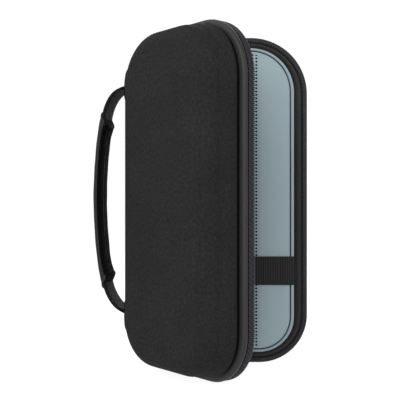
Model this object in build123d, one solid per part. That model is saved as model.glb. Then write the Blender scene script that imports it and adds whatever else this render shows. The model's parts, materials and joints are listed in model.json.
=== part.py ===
"""Hard-shell zip case for a launch monitor, standing on its short end and opened like a book.

Millimetres, +Z up.  The origin is the centre of the base half's flat back face, which faces -Y.
The parting plane of the base is at Y = base_depth.  The lid turns about a vertical spine hinge.
"""
from build123d import *
import os
from math import cos, radians, sin, tan

# ---- overall sizes ------------------------------------------------------------------------
case_height = 284.0          # along Z, at the zip edge
case_width = 131.0           # spine to free edge, at the zip edge
base_depth = 43.0            # zip edge to the base's back face
lid_depth = 24.0             # zip edge to the lid's outer face
open_angle = 51.0            # how far the lid stands open as modelled
corner_radii = {"spine_bottom": 44.0, "free_bottom": 42.0, "free_top": 49.5, "spine_top": 50.0}

# ---- shell --------------------------------------------------------------------------------
wall_draft = 9.0             # degrees
base_fillet = 13.0
lid_fillet = 7.5
fabric_inset = 4.4           # zip edge to the cover, where the cover starts
cover_wall = 1.2
core_wall = 3.5
lining_wall = 1.0
pad_thickness = 4.0          # loose foam pad on the base's floor
pad_margin = 12.0            # pad edge to the lining, beyond the floor's fillet

# ---- rim, counted in depth below the parting plane ----------------------------------------
parting_gap = 0.2            # half the gap between the closed halves
coil_depth = 2.0
coil_width = 3.7
tape_depth = 5.5
tape_setback = 0.3
tape_width = 4.1
band_depth = 13.0            # end of the rim binding
band_round = 2.4
seam_depth = 14.6            # end of the sunk seam tape under the binding
seam_setback = 0.8
inner_band_start = 2.2
inner_band_width = 7.0

# ---- lid interior -------------------------------------------------------------------------
welt_width = 2.6
groove_width = 1.3
panel_start = 4.6            # depth of the lining panel's face
panel_wall = 1.4
vent_end_margin = 13.0       # perforated field to the case's ends
vent_width = 45.0
vent_wall = 0.8
strap_width = 25.0
strap_wall = 1.5
strap_centre = 80.0          # above the case's bottom end
strap_gap = 0.3
tab_length = 5.0

# ---- spine hinge --------------------------------------------------------------------------
hinge_offset = 1.2           # hinge axis outside the zip edge
web_wall = 0.9
web_reach = 10.0

# ---- handle -------------------------------------------------------------------------------
webbing_width = 25.0
webbing_wall = 2.2
handle_end_margin = 45.5     # root to the case's end
handle_rise = 28.5           # root axis to the middle of the webbing
handle_lean = 42.0           # from the spine wall's normal towards the back face
root_depth = 27.0            # below the parting plane
root_radius = 2.2
root_length = 12.0
root_neck = 6.0
root_flare_start = 3.0
root_flare_end = 13.0
patch_wall = 1.6
patch_length = 27.0
patch_width = 24.0
grip_end_margin = 23.5       # root to the grip's end
grip_side_margin = 1.5       # grip beyond the webbing's edges
grip_thickness = 7.6
grip_skin = 1.2
plate_wall = 1.5
plate_margin = 3.0           # backing plate outside the patch
running_gap = 0.3

# ---- zip sliders --------------------------------------------------------------------------
park_angle = 10.0            # round the spine corner, from the end of the straight spine
slider_length = 9.0
slider_width = 6.6
slider_plate = 1.4
slider_start = 0.6           # below the parting plane
lug_wall = 1.2
lug_height = 4.6
lug_length = 3.4
pivot_height = 4.2           # above the zip edge
pivot_radius = 0.8
eye_radius = 1.5
tab_wall = 1.4
tab_width = 3.2
pull_length = 25.0
tab_inset = 0.2              # the tab's end inside its moulded grip
grip_overlap = 1.0           # the moulded grip past the tab's end
pull_grip_length = 17.0
pull_grip_width = 5.6
pull_grip_wall = 2.8
stop_length = 4.0

half_width = case_width / 2
half_height = case_height / 2
hinge_axis = Axis((-half_width - hinge_offset, base_depth, 0), (0, 0, 1))
parting_plane = Plane(origin=(0, base_depth, 0), z_dir=(0, 1, 0))
core_inset = fabric_inset + cover_wall
lining_inset = core_inset + core_wall
cavity_inset = lining_inset + lining_wall
inner_band_inset = tape_setback + tape_width
panel_inset = inner_band_inset + inner_band_width
vent_length = case_height - 2 * vent_end_margin
handle_span = case_height - 2 * handle_end_margin
grip_length = handle_span - 2 * grip_end_margin
grip_width = webbing_width + 2 * grip_side_margin


# ---- shared shapes ------------------------------------------------------------------------
def depth_plane(depth):
    """Sketch plane at a depth below the parting plane, X to the free edge and Y up the case."""
    return Plane(origin=(0, base_depth - depth, 0), x_dir=(1, 0, 0), z_dir=(0, -1, 0))


def corner_centres(inset=0.0):
    """Centre, radius and start angle of each corner of the outline, anticlockwise."""
    signs = {"spine_bottom": (-1, -1), "free_bottom": (1, -1), "free_top": (1, 1)}
    signs["spine_top"] = (-1, 1)
    starts = {"spine_bottom": 180, "free_bottom": 270, "free_top": 0, "spine_top": 90}
    corners = []
    for name, radius in corner_radii.items():
        side, end = signs[name]
        centre = (side * (half_width - radius), end * (half_height - radius))
        corners.append((centre, radius - inset, starts[name]))
    return corners


def outline(inset, depth):
    """Face inside the case's rounded outline, drawn in by inset, at a depth."""
    arcs = [CenterArc(centre, radius, start, 90) for centre, radius, start in corner_centres(inset)]
    sides = [Line(arcs[i] @ 1, arcs[(i + 1) % 4] @ 0) for i in range(4)]
    edges = [edge for pair in zip(arcs, sides) for edge in pair]
    return depth_plane(depth) * make_face(edges)


def slab(inset, start, end):
    """Straight-sided block inside the outline, from one depth to another."""
    return extrude(outline(inset, start), amount=end - start)


def ring(outer_inset, inner_inset, start, end):
    return slab(outer_inset, start, end) - slab(inner_inset, start, end)


def body_form(inset, start, end, fillet_radius):
    """Solid with a straight rim down to seam_depth, then drafted walls and a filleted face."""
    form = extrude(outline(inset, seam_depth), amount=end - seam_depth, taper=wall_draft)
    face_y = base_depth - end
    rim_edges = [edge for edge in form.edges() if abs(edge.center().Y - face_y) < 0.01]
    form = fillet(rim_edges, fillet_radius)
    if start < seam_depth:
        form = form + slab(inset, start, seam_depth)
    return form


def to_lid(shape):
    """Carry a shape made on the base's side across the parting plane, then open the lid."""
    return mirror(shape, about=parting_plane).rotate(hinge_axis, open_angle)


def save(name, shape):
    export_step(shape, f"parts/{name}.step")


# ---- one half of the case -----------------------------------------------------------------
def fabric_cover(depth, radius):
    outer = body_form(fabric_inset, seam_depth, depth, radius)
    inner = body_form(core_inset, seam_depth, depth - cover_wall, radius - cover_wall)
    return outer - inner


def core_hollow(depth, radius, inset=lining_inset):
    """What the core leaves free inside one half, less whatever a larger inset keeps."""
    inward = cover_wall + core_wall + inset - lining_inset
    return body_form(inset, tape_depth, depth - inward, radius - inward)


def eva_core(depth, radius):
    outer = body_form(core_inset, tape_depth, depth - cover_wall, radius - cover_wall)
    return outer - core_hollow(depth, radius)


def rim_binding():
    band = ring(0, core_inset, tape_depth, band_depth)
    rim_edges = [edge for edge in band.edges() if is_outer_edge(edge)]
    return fillet(rim_edges, band_round)


def is_outer_edge(edge):
    """True for an edge of the outline itself, at no inset."""
    point = edge @ 0.5
    for centre, radius, _ in corner_centres():
        dx = point.X - centre[0]
        dz = point.Z - centre[1]
        if abs((dx * dx + dz * dz) ** 0.5 - radius) < 0.02 and dx * centre[0] >= 0 and dz * centre[1] >= 0:
            return True
    return abs(abs(point.X) - half_width) < 0.02 or abs(abs(point.Z) - half_height) < 0.02


def seam_tape():
    return ring(fabric_inset + seam_setback, core_inset, band_depth, seam_depth)


def zip_tape():
    return ring(tape_setback, tape_setback + tape_width, coil_depth, tape_depth)


def zip_coil():
    """The coil stops at the spine's straight stretch, where the fabric web takes over."""
    coil = ring(0, coil_width, parting_gap, coil_depth)
    low, high = spine_span()
    gap = Pos(-half_width, base_depth, (low + high) / 2) * Box(4 * coil_width, 2 * tape_depth, high - low)
    return coil - gap


def inner_binding():
    return ring(inner_band_inset, panel_inset, inner_band_start, tape_depth)


def spine_span():
    """Lowest and highest point of the straight stretch of the spine."""
    low = corner_radii["spine_bottom"] - half_height
    high = half_height - corner_radii["spine_top"]
    return low, high


def spine_web():
    low, high = spine_span()
    depth = web_reach - parting_gap
    centre_y = base_depth - parting_gap - depth / 2
    return Pos(-half_width - web_wall / 2, centre_y, (low + high) / 2) * Box(web_wall, depth, high - low)


# ---- base ---------------------------------------------------------------------------------
def patch_zone(direction, length, width):
    """Box on the spine wall round a handle root, direction +1 for the upper root."""
    centre_z = direction * handle_span / 2
    return Pos(-half_width, base_depth - root_depth, centre_z) * Box(2 * webbing_width, width, length)


def root_patch(direction):
    """Fabric patch over the webbing's root, lying on the cover round the start of the corner."""
    outer_end = base_depth + patch_wall
    outer = body_form(fabric_inset - patch_wall, seam_depth, outer_end, base_fillet + patch_wall)
    inner = body_form(fabric_inset, seam_depth, base_depth, base_fillet)
    return (outer - inner) & patch_zone(direction, patch_length, patch_width)


def backing_plate(direction):
    """Stiffener let into the core's inner face behind the root patch."""
    length = patch_length + 2 * plate_margin
    outer = core_hollow(base_depth, base_fillet, lining_inset - plate_wall)
    inner = core_hollow(base_depth, base_fillet)
    return (outer - inner) & patch_zone(direction, length, patch_width - 2 * plate_margin)


def base_lining():
    return core_hollow(base_depth, base_fillet) - core_hollow(base_depth, base_fillet, cavity_inset)


def floor_pad():
    floor = base_depth - cover_wall - core_wall - lining_wall
    draft_shift = (floor - seam_depth) * tan(radians(wall_draft))
    pad = slab(cavity_inset + draft_shift + pad_margin, floor - pad_thickness, floor)
    top_y = base_depth - floor + pad_thickness
    upper = [edge for edge in pad.edges() if abs(edge.center().Y - top_y) < 0.01]
    return fillet(upper, pad_thickness / 3)


def make_base():
    core = eva_core(base_depth, base_fillet)
    for name, direction in (("upper", 1), ("lower", -1)):
        plate = backing_plate(direction)
        core = core - plate
        save(f"handle_backing_plate_{name}", plate)
        save(f"handle_root_patch_{name}", root_patch(direction))
    save("base_fabric_cover", fabric_cover(base_depth, base_fillet))
    save("base_eva_core", core)
    save("base_lining", base_lining())
    save("base_floor_pad", floor_pad())
    save("base_rim_binding", rim_binding())
    save("base_seam_tape", seam_tape())
    save("base_zip_tape", zip_tape())
    save("base_zip_coil", zip_coil())
    save("base_inner_binding", inner_binding())
    save("base_spine_web", spine_web())


# ---- lid ----------------------------------------------------------------------------------
def lid_pad():
    """Foam block that fills the lid behind its lining panel, hollowed for the vent backing."""
    above = slab(0, 0, panel_start + panel_wall)
    return core_hollow(lid_depth, lid_fillet) - above - vent_backing()


def vent_backing():
    face = depth_plane(panel_start + panel_wall) * Rectangle(vent_width, vent_length)
    return extrude(face, amount=vent_wall)


def lining_panel():
    return slab(panel_inset + welt_width + groove_width, panel_start, panel_start + panel_wall)


def lining_welt():
    return ring(panel_inset, panel_inset + welt_width, panel_start, panel_start + panel_wall)


def strap_box(low_x, high_x, width):
    depth = panel_start - strap_gap - strap_wall / 2
    centre_z = strap_centre - half_height
    place = Pos((low_x + high_x) / 2, base_depth - depth, centre_z)
    return place * Box(high_x - low_x, strap_wall, width)


def elastic_strap():
    reach = half_width - panel_inset
    return strap_box(-reach, reach, strap_width)


def strap_tabs():
    """Sewn ends of the elastic, let into the inner binding."""
    reach = half_width - panel_inset
    spine_tab = strap_box(-reach - tab_length, -reach, strap_width)
    free_tab = strap_box(reach, reach + tab_length, strap_width)
    return [spine_tab, free_tab]


def make_lid():
    binding = inner_binding()
    tabs = strap_tabs()
    for tab in tabs:
        binding = binding - tab
    save("lid_fabric_cover", to_lid(fabric_cover(lid_depth, lid_fillet)))
    save("lid_eva_core", to_lid(eva_core(lid_depth, lid_fillet)))
    save("lid_foam_pad", to_lid(lid_pad()))
    save("lid_vent_backing", to_lid(vent_backing()))
    save("lid_lining_panel", to_lid(lining_panel()))
    save("lid_lining_welt", to_lid(lining_welt()))
    save("lid_rim_binding", to_lid(rim_binding()))
    save("lid_seam_tape", to_lid(seam_tape()))
    save("lid_zip_tape", to_lid(zip_tape()))
    save("lid_zip_coil", to_lid(zip_coil()))
    save("lid_inner_binding", to_lid(binding))
    save("lid_spine_web", to_lid(spine_web()))
    save("elastic_strap", to_lid(elastic_strap()))
    save("elastic_strap_ends", Compound(children=[to_lid(tab) for tab in tabs]))


# ---- handle -------------------------------------------------------------------------------
def root_axis_place():
    """X and Y of the handle's root axis, clear of the root patch."""
    draft_shift = (root_depth - seam_depth) * tan(radians(wall_draft))
    wall_inset = fabric_inset + draft_shift
    x = -half_width + wall_inset - patch_wall / cos(radians(wall_draft)) - running_gap - root_radius
    return x, base_depth - root_depth


def handle_plane():
    """Plane of the arch: X out from the case, Y up, normal across the webbing."""
    x, y = root_axis_place()
    lean = radians(handle_lean)
    out = (-cos(lean), -sin(lean), 0)
    across = (-sin(lean), cos(lean), 0)
    return Plane(origin=(x, y, 0), x_dir=out, z_dir=across)


def arch_line():
    """Middle line of the webbing, from the lower root to the upper, in the arch's plane."""
    half = handle_span / 2
    upper = [(1.02 * handle_rise, 0.0), (0.89 * handle_rise, 0.52 * half), (0.62 * handle_rise, 0.89 * half)]
    upper.append((0.0, half))
    points = [Vector(x, -y) for x, y in reversed(upper)] + [Vector(x, y) for x, y in upper[1:]]
    radii = []
    for before, corner, after in zip(points, points[1:], points[2:]):
        shorter = min((corner - before).length, (after - corner).length)
        turn = (corner - before).get_angle(after - corner)
        radii.append(0.45 * shorter / tan(radians(turn) / 2))
    return FilletPolyline(*points, radius=radii)


def arch(thickness, width, reach):
    """Band along the arch, cut off at reach above and below the middle."""
    side_view = handle_plane() * trace(arch_line().edges(), line_width=thickness)
    band = extrude(side_view, amount=width / 2, both=True)
    return band & Box(2 * case_width, 4 * base_depth, 2 * reach)


def flare():
    """Plan of the webbing: gathered to a neck at the root and full width further out."""
    neck = root_neck / 2
    full = webbing_width / 2
    far = 2 * handle_rise
    half_plan = [(-far, neck), (root_flare_start, neck), (root_flare_end, full), (far, full)]
    plan = half_plan + [(x, -y) for x, y in reversed(half_plan)]
    place = handle_plane()
    plan_plane = Plane(origin=place.origin, x_dir=place.x_dir, z_dir=(0, 0, 1))
    return extrude(plan_plane * make_face(Polyline(*plan, close=True)), amount=case_height, both=True)


def root_roll(direction):
    x, y = root_axis_place()
    return Pos(x, y, direction * handle_span / 2) * Cylinder(root_radius, root_length)


def make_handle():
    whole_reach = handle_span / 2 + webbing_width
    webbing = arch(webbing_wall, webbing_width, whole_reach) & flare()
    for direction in (1, -1):
        webbing = webbing + root_roll(direction)
    grip_reach = grip_length / 2
    core_form = arch(grip_thickness - 2 * grip_skin, grip_width - 2 * grip_skin, grip_reach)
    cover_form = arch(grip_thickness, grip_width, grip_reach)
    across = handle_plane().z_dir
    sides = [edge for edge in cover_form.edges() if abs((edge % 0.5).dot(across)) < 0.01]
    long_edges = [edge for edge in sides if abs(edge.center().Z) < grip_reach - 0.01]
    cover_form = fillet(long_edges, grip_thickness / 2.5)
    strip = arch(webbing_wall, webbing_width, whole_reach)
    save("handle_webbing", webbing)
    save("handle_grip_core", core_form - strip)
    save("handle_grip_cover", cover_form - core_form)


# ---- zip sliders and pulls ----------------------------------------------------------------
def slider_place(direction):
    """Plane at a parked slider: X out of the case, Y along the zip away from the spine."""
    name = "spine_top" if direction > 0 else "spine_bottom"
    radius = corner_radii[name]
    turn = radians(park_angle)
    out = (-cos(turn), 0, direction * sin(turn))
    centre = (radius - half_width, base_depth, direction * (half_height - radius))
    origin = (centre[0] + radius * out[0], centre[1], centre[2] + radius * out[2])
    return Plane(origin=origin, x_dir=out, z_dir=(0, -1, 0))


def slider_body(place):
    middle = slider_start + slider_width / 2
    plate_x = running_gap + slider_plate / 2
    plate = Pos(plate_x, 0, middle) * Box(slider_plate, slider_length, slider_width)
    body = fillet(plate.edges().filter_by(Axis.X), slider_plate)
    lug_base = running_gap + slider_plate / 2
    lug_centre = lug_base + lug_height / 2
    for side in (1, -1):
        z = middle + side * (slider_width - lug_wall) / 2
        lug = Pos(lug_centre, 0, z) * Box(lug_height, lug_length, lug_wall)
        body = body + lug
    pin = Pos(pivot_height, 0, middle) * Cylinder(pivot_radius, slider_width - lug_wall)
    return place * (body + pin)


def pull_frame(place):
    """Plane at the pull's pivot: X straight down, so that the pull hangs, and Z along the pin."""
    pivot = place * Pos(pivot_height, 0, slider_start + slider_width / 2)
    return Plane(origin=pivot.position, x_dir=(0, 0, -1), z_dir=(0, -1, 0))


def pull_tab(frame):
    eye = Cylinder(eye_radius, tab_width) - Cylinder(pivot_radius + running_gap / 4, tab_width)
    reach = pull_length - eye_radius
    bar = Pos(pull_length - tab_inset - reach / 2, 0, 0) * Box(reach, tab_wall, tab_width)
    bar = bar - Cylinder(pivot_radius + running_gap / 4, tab_width)
    return frame * (eye + bar)


def pull_grip(frame):
    centre = pull_length + grip_overlap - pull_grip_length / 2
    block = Pos(centre, 0, 0) * Box(pull_grip_length, pull_grip_wall, pull_grip_width)
    block = fillet(block.edges().filter_by(Axis.Y), pull_grip_width / 3)
    tab_room = Box(2 * (pull_length - tab_inset), tab_wall, tab_width)
    return frame * (block - tab_room)


def end_stop(direction):
    """Moulded stop that closes the coil's spine end."""
    low, high = spine_span()
    centre_z = (high if direction > 0 else low) - direction * stop_length / 2
    depth = coil_depth - parting_gap
    place = Pos(-half_width + coil_width / 2, base_depth - parting_gap - depth / 2, centre_z)
    return place * Box(coil_width, depth, stop_length)


def make_sliders():
    for name, direction in (("upper", 1), ("lower", -1)):
        place = slider_place(direction)
        frame = pull_frame(place)
        save(f"{name}_slider_body", slider_body(place))
        save(f"{name}_pull_tab", pull_tab(frame))
        save(f"{name}_pull_grip", pull_grip(frame))
    save("zip_end_stops", Compound(children=[end_stop(1), end_stop(-1)]))


os.makedirs("parts", exist_ok=True)
make_base()
make_lid()
make_handle()
make_sliders()
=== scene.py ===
"""Looks of the hard-shell zip case: cloth covers, bindings, zip, lining, strap and handle.

Metres, +Z up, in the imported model's frame. Each sub-assembly is a class that models its pieces and
dresses them. Both halves are modelled on the base's side; the lid's pieces are then turned over.
"""
import json
import logging
import math
from contextlib import contextmanager
from dataclasses import dataclass, field
from enum import Enum
from typing import Callable, Iterator, Optional

import bmesh
import bpy
from mathutils import Matrix, Vector

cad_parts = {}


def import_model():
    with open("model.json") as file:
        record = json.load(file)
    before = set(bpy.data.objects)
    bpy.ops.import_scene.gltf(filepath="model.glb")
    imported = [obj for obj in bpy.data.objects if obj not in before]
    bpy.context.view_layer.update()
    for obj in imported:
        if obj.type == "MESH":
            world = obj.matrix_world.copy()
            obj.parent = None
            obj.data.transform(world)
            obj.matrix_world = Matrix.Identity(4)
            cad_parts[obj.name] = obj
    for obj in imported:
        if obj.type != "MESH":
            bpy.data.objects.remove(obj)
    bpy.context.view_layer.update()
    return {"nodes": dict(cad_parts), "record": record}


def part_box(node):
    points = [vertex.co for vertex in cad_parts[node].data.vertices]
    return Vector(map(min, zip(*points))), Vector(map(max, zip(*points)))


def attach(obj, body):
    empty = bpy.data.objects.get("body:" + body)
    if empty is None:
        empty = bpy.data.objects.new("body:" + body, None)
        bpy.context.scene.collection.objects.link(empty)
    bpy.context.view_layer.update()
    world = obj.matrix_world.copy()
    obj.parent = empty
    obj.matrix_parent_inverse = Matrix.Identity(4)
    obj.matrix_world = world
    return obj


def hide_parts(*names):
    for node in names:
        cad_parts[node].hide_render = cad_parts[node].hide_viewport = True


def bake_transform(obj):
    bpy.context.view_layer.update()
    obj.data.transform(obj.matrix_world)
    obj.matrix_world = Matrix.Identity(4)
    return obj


log = logging.getLogger("case")
MM = 0.001
WELD = 0.002 * MM
Place = tuple[float, float]
Profile = list[Place]
Shape = tuple[list[Vector], list[tuple[int, ...]]]
ClothMap = Callable[[int, int], Place]


class Half(Enum):
    """Which half of the case a piece belongs to; the value is its body."""

    BASE = "base"
    LID = "lid"


class End(Enum):
    """Upper or lower end of the case, as a direction along Z."""

    UPPER = 1
    LOWER = -1


# ---- bpy.ops helpers ------------------------------------------------------------------------
def clear_selection() -> None:
    """Leave edit mode and deselect everything."""
    if bpy.context.object is not None and bpy.context.object.mode != "OBJECT":
        bpy.ops.object.mode_set(mode="OBJECT")
    bpy.ops.object.select_all(action="DESELECT")


def activate(piece: bpy.types.Object) -> None:
    """Make one piece the only selected and active object.

    Args:
        piece: the object to work on.
    """
    clear_selection()
    piece.select_set(True)
    bpy.context.view_layer.objects.active = piece


def name_piece(name: str) -> bpy.types.Object:
    """Give the active object and its mesh a name.

    Args:
        name: the piece's name.

    Returns:
        The active object.
    """
    piece = bpy.context.object
    piece.name = name
    piece.data.name = name
    return piece


def settle(piece: bpy.types.Object) -> None:
    """Apply a piece's place, turn and size, so that its mesh carries them.

    Args:
        piece: the object to settle.
    """
    activate(piece)
    bpy.ops.object.transform_apply(location=True, rotation=True, scale=True)


def apply_modifier(piece: bpy.types.Object, kind: str, **settings: object) -> None:
    """Add a modifier, set it and apply it.

    Args:
        piece: the object that takes the modifier.
        kind: Blender's modifier type.
        settings: the modifier's properties.
    """
    activate(piece)
    bpy.ops.object.modifier_add(type=kind)
    modifier = piece.modifiers[-1]
    for key, value in settings.items():
        setattr(modifier, key, value)
    bpy.ops.object.modifier_apply(modifier=modifier.name)


@contextmanager
def editing(piece: bpy.types.Object, selected: bool = True) -> Iterator[None]:
    """Work on a piece in edit mode, and leave it in object mode.

    Args:
        piece: the object to edit.
        selected: start with all of it selected, or with nothing.
    """
    activate(piece)
    bpy.ops.object.mode_set(mode="EDIT")
    bpy.ops.mesh.select_all(action="SELECT" if selected else "DESELECT")
    yield
    bpy.ops.object.mode_set(mode="OBJECT")


def face_outwards(piece: bpy.types.Object) -> None:
    """Merge doubles and turn every face outwards.

    Args:
        piece: a closed mesh object.
    """
    with editing(piece):
        bpy.ops.mesh.remove_doubles(threshold=WELD)
        bpy.ops.mesh.normals_make_consistent(inside=False)


def close_ends(piece: bpy.types.Object) -> None:
    """Close the open ends of a lofted tube.

    Args:
        piece: the tube.
    """
    with editing(piece, selected=False):
        bpy.ops.mesh.select_non_manifold()
        bpy.ops.mesh.edge_face_add()
    face_outwards(piece)


def thicken(piece: bpy.types.Object, wall: float, offset: float = -1.0) -> None:
    """Give a sheet its thickness.

    Args:
        piece: the sheet.
        wall: its thickness.
        offset: -1 to grow inwards, 0 to grow to both sides.
    """
    apply_modifier(piece, "SOLIDIFY", thickness=wall, offset=offset)


def smooth(piece: bpy.types.Object, angle: float = 60.0) -> None:
    """Shade smooth, with edges sharper than an angle kept sharp.

    Args:
        piece: the object to shade.
        angle: the limit in degrees.
    """
    activate(piece)
    bpy.ops.object.shade_smooth_by_angle(angle=math.radians(angle))


def distances(points: list, closed: bool = False) -> list[float]:
    """Distance along a line to each of its points.

    Args:
        points: the places, as tuples or vectors.
        closed: the line returns to its first point, which is then counted once more.

    Returns:
        The distances, from 0.
    """
    total = [0.0]
    for a, b in zip(points, points[1:] + points[:1] if closed else points[1:]):
        total.append(total[-1] + math.dist(a, b))
    return total


def place_key(point: Vector) -> tuple[int, int, int]:
    """Key of a vertex by its place, to the tenth of a micrometre."""
    return (round(point.x * 1e7), round(point.y * 1e7), round(point.z * 1e7))


def loft(name: str, rings: list[list[Vector]], closed: bool = False, cap: bool = False,
         uv: Optional[ClothMap] = None, open_ring: bool = False) -> bpy.types.Object:
    """Extrude a ring of points from section to section.

    Args:
        name: the piece's name.
        rings: the rings in order, all with as many points.
        closed: bridge the last ring to the first.
        cap: gather the last ring into a pole.
        uv: map from point and ring numbers to a UV place.
        open_ring: the rings are open lines, not loops.

    Returns:
        The new object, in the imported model's frame.
    """
    count = len(rings[0])
    clear_selection()
    bpy.ops.mesh.primitive_circle_add(vertices=count, fill_type="NOTHING", radius=1.0)
    piece = name_piece(name)
    mesh = piece.data
    for index, point in enumerate(rings[0]):
        mesh.vertices[index].co = point
    places = {place_key(point): (index, 0) for index, point in enumerate(rings[0])}
    with editing(piece):
        if open_ring:
            edit = bmesh.from_edit_mesh(mesh)
            edit.verts.ensure_lookup_table()
            edit.edges.remove(edit.edges.get((edit.verts[0], edit.verts[count - 1])))
            bmesh.update_edit_mesh(mesh)
        for level, ring in enumerate(rings[1:], start=1):
            before = {place_key(point): index for index, point in enumerate(rings[level - 1])}
            bpy.ops.mesh.extrude_region_move()
            edit = bmesh.from_edit_mesh(mesh)
            for vertex in edit.verts:
                if vertex.select:
                    index = before[place_key(vertex.co)]
                    vertex.co = ring[index]
                    places[place_key(vertex.co)] = (index, level)
            bmesh.update_edit_mesh(mesh)
        if cap:
            bpy.ops.mesh.merge(type="CENTER")
        if closed:
            select_ends(mesh, rings, places)
            bpy.ops.mesh.bridge_edge_loops()
    if uv is not None:
        write_uv(mesh, places, uv, count, len(rings), open_ring)
    face_outwards(piece)
    return piece


def select_ends(mesh: bpy.types.Mesh, rings: list[list[Vector]], places: dict) -> None:
    """Select the first and the last ring's edges, to be bridged.

    Args:
        mesh: the mesh in edit mode.
        rings: the rings in order.
        places: vertex place to point and ring numbers.
    """
    edit = bmesh.from_edit_mesh(mesh)
    ends = {place_key(point) for point in rings[0] + rings[-1]}
    for vertex in edit.verts:
        vertex.select = place_key(vertex.co) in ends
    edit.select_flush_mode()
    for edge in edit.edges:
        both = {places[place_key(v.co)][1] for v in edge.verts if place_key(v.co) in places}
        edge.select = edge.verts[0].select and edge.verts[1].select and len(both) == 1
    bmesh.update_edit_mesh(mesh)


def cloth_layer(mesh: bpy.types.Mesh) -> bpy.types.MeshUVLoopLayer:
    """Give a mesh one empty UV map, for its cloth pattern.

    Args:
        mesh: the mesh.

    Returns:
        The map.
    """
    while mesh.uv_layers:
        mesh.uv_layers.remove(mesh.uv_layers[0])
    return mesh.uv_layers.new(name="cloth")


def write_uv(mesh: bpy.types.Mesh, places: dict, uv: ClothMap, count: int, levels: int,
             open_ring: bool) -> None:
    """Write a lofted mesh's UV map, with its one seam at point 0.

    Args:
        mesh: the lofted mesh.
        places: vertex place to point and ring numbers.
        uv: map from point and ring numbers to a UV place.
        count: points in a ring.
        levels: number of rings.
        open_ring: the rings are open lines.
    """
    layer = cloth_layer(mesh)
    for polygon in mesh.polygons:
        spots = [places.get(place_key(mesh.vertices[v].co)) for v in polygon.vertices]
        known = [spot for spot in spots if spot is not None]
        columns, rows = {spot[0] for spot in known}, {spot[1] for spot in known}
        wraps = not open_ring and {0, count - 1} <= columns
        turns = levels > 2 and {0, levels - 1} <= rows
        for loop, spot in zip(polygon.loop_indices, spots):
            if spot is None:
                spot = (known[0][0], levels - 1)
            index = count if wraps and spot[0] == 0 else spot[0]
            level = levels if turns and spot[1] == 0 else spot[1]
            layer.data[loop].uv = uv(index, level)


# ---- the case's outline ---------------------------------------------------------------------
@dataclass
class Outline:
    """The rounded outline at the zip edge, the drafted wall inside it, and the hinge."""

    half_width: float
    half_height: float
    parting: float
    hinge: Vector
    closed_turn: float
    radii: dict[str, float] = field(default_factory=lambda: {
        "spine_bottom": 44.0 * MM, "free_bottom": 42.0 * MM, "free_top": 49.5 * MM, "spine_top": 50.0 * MM})
    least_radius: float = 0.5 * MM
    arc_steps: int = 22
    side_steps: int = 30
    end_steps: int = 10
    wall_inset: float = 4.4 * MM
    seam_depth: float = 14.6 * MM
    draft: float = math.radians(9.0)

    def plan(self, inset: float, end_ease: float = 0.0) -> Profile:
        """Points of the outline drawn in by an inset, from the middle of the spine.

        Args:
            inset: distance inwards from the zip edge.
            end_ease: how much less the inset is at the two short ends.

        Returns:
            X and Z of each point, anticlockwise seen from the base's back.
        """
        signs = {"spine_bottom": (-1, -1, 180), "free_bottom": (1, -1, 270),
                 "free_top": (1, 1, 0), "spine_top": (-1, 1, 90)}
        arcs = []
        for name, (side, end, start) in signs.items():
            radius = self.radii[name]
            centre = (side * (self.half_width - radius), end * (self.half_height - radius))
            reach = max(radius - inset, self.least_radius)
            turns = [math.radians(start + 90 * k / self.arc_steps) for k in range(self.arc_steps + 1)]
            arcs.append([(centre[0] + reach * math.cos(t), centre[1] + reach * math.sin(t)) for t in turns])
        points: Profile = []
        for k, arc in enumerate(arcs):
            following = arcs[(k + 1) % 4][0]
            steps = self.end_steps if k % 2 == 0 else self.side_steps
            points += arc
            for step in range(1, steps):
                share = step / steps
                points.append((arc[-1][0] + (following[0] - arc[-1][0]) * share,
                               arc[-1][1] + (following[1] - arc[-1][1]) * share))
        middle = self.side_steps // 2
        points = points[-middle:] + points[:-middle]
        stretch = 1 + end_ease / (self.half_height - inset)
        return [(x, z * stretch) for x, z in points]

    def ring(self, inset: float, depth: float, end_ease: float = 0.0, scale: float = 1.0) -> list[Vector]:
        """One ring of points at an inset and a depth below the parting plane, on the base's side."""
        return [Vector((x * scale, self.parting - depth, z * scale)) for x, z in self.plan(inset, end_ease)]

    def lengths(self) -> list[float]:
        """Distance along the zip edge to each point, and once more to the first."""
        return distances(self.plan(0.0), closed=True)

    def drafted(self, depth: float) -> float:
        """How far the drafted wall has come in at a depth."""
        return max(depth - self.seam_depth, 0.0) * math.tan(self.draft)

    def floor_rounding(self, inset: float, floor: float, radius: float, steps: int) -> Profile:
        """Arc of a section, from the drafted wall round to a flat floor.

        Args:
            inset: the wall's inset at the seam.
            floor: the floor's depth.
            radius: the arc's radius.
            steps: how many spans.

        Returns:
            Inset and depth of each point.
        """
        tangent = radius * (1 - math.sin(self.draft)) / math.cos(self.draft)
        middle = inset + self.drafted(floor) + tangent
        turns = [-self.draft + (math.pi / 2 + self.draft) * step / steps for step in range(steps + 1)]
        return [(middle - radius * math.cos(turn), floor - radius + radius * math.sin(turn))
                for turn in turns]

    def lid_matrix(self) -> Matrix:
        """Carries a mesh from the base's side across the parting plane to the open lid."""
        to_plane = Matrix.Translation((0, -self.parting, 0))
        mirror = Matrix.Diagonal((1, -1, 1, 1))
        turn = Matrix.Translation(self.hinge) @ Matrix.Rotation(self.closed_turn, 4, "Z")
        return turn @ Matrix.Translation(-self.hinge) @ to_plane.inverted() @ mirror @ to_plane

    def to_half(self, piece: bpy.types.Object, half: Half) -> bpy.types.Object:
        """Move a piece modelled on the base's side to its half, and let it ride on that body.

        Args:
            piece: the piece, in the base's place.
            half: the half it belongs to.

        Returns:
            The same piece.
        """
        if half is Half.LID:
            piece.data.transform(self.lid_matrix())
            piece.data.flip_normals()
        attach(piece, half.value)
        return piece


def find_joint(record: dict, name: str) -> dict:
    """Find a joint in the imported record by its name."""
    return next(joint for joint in record["behaviour"]["joints"] if joint["name"] == name)


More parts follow.
